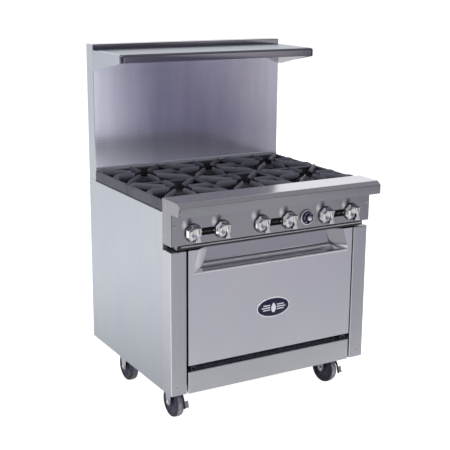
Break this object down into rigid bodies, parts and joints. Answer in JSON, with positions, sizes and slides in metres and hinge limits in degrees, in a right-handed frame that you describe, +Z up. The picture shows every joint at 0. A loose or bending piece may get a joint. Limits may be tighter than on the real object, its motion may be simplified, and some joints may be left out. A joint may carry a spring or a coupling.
{
  "type": "commercial gas range",
  "caption": "Free-standing stainless gas range on casters: open burners under cast grates, one oven, tall backguard with a high shelf.",
  "frame": {"origin": "on the floor, under the middle of the range's bounding box", "axes": "+Z up, front (doors and knobs) faces -Y, the user's right is +X"},
  "size_m": [0.914, 0.88, 1.456],
  "materials": {
    "stainless_side": "fine vertical brushing, satin",
    "stainless_front": "fine horizontal brushing, satin",
    "stainless_guard": "fine horizontal brushing, near mirror",
    "stainless_door": "fine horizontal brushing, polished scoop",
    "dark_steel": "black heat-proof paint",
    "cast_iron": "rough cast, dark blue-grey",
    "chrome": "polished",
    "black_plate": "satin black",
    "navy": "gloss navy",
    "pipe": "black gas pipe",
    "enamel": "porcelain enamel, gloss",
    "galvanised": "galvanised sheet",
    "wire": "nickel-plated wire",
    "rubber": "matte",
    "tyre": "matte dark rubber",
    "zinc": "zinc plated, satin"
  },
  "bodies": {
    "range_body": {"left_side_panel": "stainless_side", "right_side_panel": "stainless_side", "rear_panel": "galvanised", "base_frame": "dark_steel", "left_stile": "stainless_side", "right_stile": "stainless_side", "kick_panel": "stainless_front", "control_panel": "stainless_front", "front_rail": "stainless_front", "backguard": "stainless_guard", "high_shelf": "stainless_guard", "top_frame": "dark_steel", "burner_1": "cast_iron", "burner_2": "cast_iron", "burner_3": "cast_iron", "burner_4": "cast_iron", "burner_5": "cast_iron", "burner_6": "cast_iron", "thermostat_bezel": "chrome", "label_plate_left": "black_plate", "label_plate_middle": "black_plate", "label_plate_right": "black_plate", "gas_manifold": "pipe", "oven_liner": "enamel", "oven_deck": "enamel", "oven_burner": "dark_steel", "rack_guide_left": "wire", "rack_guide_right": "wire", "flue_duct": "galvanised", "door_hinge_left": "dark_steel", "door_hinge_right": "dark_steel"},
    "oven_door": {"door_skin": "stainless_door", "door_liner": "enamel", "door_gasket": "rubber", "door_badge": "navy"},
    "tray": {"crumb_tray": "stainless_front"},
    "rack": {"oven_rack": "wire"},
    "lift_grate_1": {"grate_1": "cast_iron"},
    "lift_grate_2": {"grate_2": "cast_iron"},
    "lift_grate_3": {"grate_3": "cast_iron"},
    "lift_grate_4": {"grate_4": "cast_iron"},
    "lift_grate_5": {"grate_5": "cast_iron"},
    "lift_grate_6": {"grate_6": "cast_iron"},
    "knob_1": {"burner_knob_1": "chrome"},
    "knob_2": {"burner_knob_2": "chrome"},
    "knob_3": {"burner_knob_3": "chrome"},
    "knob_4": {"burner_knob_4": "chrome"},
    "knob_5": {"burner_knob_5": "chrome"},
    "knob_6": {"burner_knob_6": "chrome"},
    "oven_knob": {"thermostat_knob": "navy"},
    "front_left_swivel": {"caster_front_left_fork": "zinc"},
    "front_left_wheel": {"caster_front_left_wheel": "tyre"},
    "front_left_pedal": {"caster_front_left_brake": "zinc"},
    "front_right_swivel": {"caster_front_right_fork": "zinc"},
    "front_right_wheel": {"caster_front_right_wheel": "tyre"},
    "front_right_pedal": {"caster_front_right_brake": "zinc"},
    "rear_left_swivel": {"caster_rear_left_fork": "zinc"},
    "rear_left_wheel": {"caster_rear_left_wheel": "tyre"},
    "rear_right_swivel": {"caster_rear_right_fork": "zinc"},
    "rear_right_wheel": {"caster_rear_right_wheel": "tyre"}
  },
  "joints": [
    {"name": "oven_door_hinge", "type": "hinge", "parent": "range_body", "child": "oven_door", "pos_m": [0, -0.35, 0.262], "axis": [1, 0, 0], "range_deg": [0, 88], "stiffness_Nm_per_rad": 6, "springref_deg": -5.73},
    {"name": "crumb_tray_slide", "type": "slide", "parent": "range_body", "child": "tray", "axis": [0, -1, 0], "range_m": [0, 0.6]},
    {"name": "oven_rack_slide", "type": "slide", "parent": "range_body", "child": "rack", "axis": [0, -1, 0], "range_m": [0, 0.03]},
    {"name": "grate_1_lift", "type": "slide", "parent": "range_body", "child": "lift_grate_1", "axis": [0, 0, 1], "range_m": [0, 0.12]},
    {"name": "grate_2_lift", "type": "slide", "parent": "range_body", "child": "lift_grate_2", "axis": [0, 0, 1], "range_m": [0, 0.12]},
    {"name": "grate_3_lift", "type": "slide", "parent": "range_body", "child": "lift_grate_3", "axis": [0, 0, 1], "range_m": [0, 0.12]},
    {"name": "grate_4_lift", "type": "slide", "parent": "range_body", "child": "lift_grate_4", "axis": [0, 0, 1], "range_m": [0, 0.12]},
    {"name": "grate_5_lift", "type": "slide", "parent": "range_body", "child": "lift_grate_5", "axis": [0, 0, 1], "range_m": [0, 0.12]},
    {"name": "grate_6_lift", "type": "slide", "parent": "range_body", "child": "lift_grate_6", "axis": [0, 0, 1], "range_m": [0, 0.12]},
    {"name": "burner_knob_1_turn", "type": "hinge", "parent": "range_body", "child": "knob_1", "pos_m": [-0.3655, -0.3693, 0.805], "axis": [0, -1, 0], "range_deg": [0, 135]},
    {"name": "burner_knob_2_turn", "type": "hinge", "parent": "range_body", "child": "knob_2", "pos_m": [-0.2395, -0.3693, 0.805], "axis": [0, -1, 0], "range_deg": [0, 135]},
    {"name": "burner_knob_3_turn", "type": "hinge", "parent": "range_body", "child": "knob_3", "pos_m": [-0.0635, -0.3693, 0.805], "axis": [0, -1, 0], "range_deg": [0, 135]},
    {"name": "burner_knob_4_turn", "type": "hinge", "parent": "range_body", "child": "knob_4", "pos_m": [0.0625, -0.3693, 0.805], "axis": [0, -1, 0], "range_deg": [0, 135]},
    {"name": "burner_knob_5_turn", "type": "hinge", "parent": "range_body", "child": "knob_5", "pos_m": [0.2385, -0.3693, 0.805], "axis": [0, -1, 0], "range_deg": [0, 135]},
    {"name": "burner_knob_6_turn", "type": "hinge", "parent": "range_body", "child": "knob_6", "pos_m": [0.3645, -0.3693, 0.805], "axis": [0, -1, 0], "range_deg": [0, 135]},
    {"name": "thermostat_knob_turn", "type": "hinge", "parent": "range_body", "child": "oven_knob", "pos_m": [0.146, -0.3693, 0.806], "axis": [0, -1, 0], "range_deg": [0, 270]},
    {"name": "front_left_swivel_turn", "type": "hinge", "parent": "range_body", "child": "front_left_swivel", "pos_m": [-0.37, -0.168, 0.1], "axis": [0, 0, 1], "continuous": true},
    {"name": "front_left_wheel_spin", "type": "hinge", "parent": "front_left_swivel", "child": "front_left_wheel", "pos_m": [-0.3693, -0.20799, 0.0635], "axis": [0.9998, 0.0175, 0], "continuous": true},
    {"name": "front_left_brake_press", "type": "hinge", "parent": "front_left_swivel", "child": "front_left_pedal", "pos_m": [-0.36846, -0.25599, 0.126], "axis": [0.9998, 0.0175, 0], "range_deg": [0, 12]},
    {"name": "front_right_swivel_turn", "type": "hinge", "parent": "range_body", "child": "front_right_swivel", "pos_m": [0.37, -0.168, 0.1], "axis": [0, 0, 1], "continuous": true},
    {"name": "front_right_wheel_spin", "type": "hinge", "parent": "front_right_swivel", "child": "front_right_wheel", "pos_m": [0.37557, -0.20761, 0.0635], "axis": [0.9903, 0.1392, 0], "continuous": true},
    {"name": "front_right_brake_press", "type": "hinge", "parent": "front_right_swivel", "child": "front_right_pedal", "pos_m": [0.38225, -0.25514, 0.126], "axis": [0.9903, 0.1392, 0], "range_deg": [0, 12]},
    {"name": "rear_left_swivel_turn", "type": "hinge", "parent": "range_body", "child": "rear_left_swivel", "pos_m": [-0.373, 0.263, 0.1], "axis": [0, 0, 1], "continuous": true},
    {"name": "rear_left_wheel_spin", "type": "hinge", "parent": "rear_left_swivel", "child": "rear_left_wheel", "pos_m": [-0.3716, 0.22302, 0.0635], "axis": [0.9994, 0.0349, 0], "continuous": true},
    {"name": "rear_right_swivel_turn", "type": "hinge", "parent": "range_body", "child": "rear_right_swivel", "pos_m": [0.373, 0.263, 0.1], "axis": [0, 0, 1], "continuous": true},
    {"name": "rear_right_wheel_spin", "type": "hinge", "parent": "rear_right_swivel", "child": "rear_right_wheel", "pos_m": [0.36882, 0.22322, 0.0635], "axis": [0.9945, -0.1045, 0], "continuous": true}
  ]
}
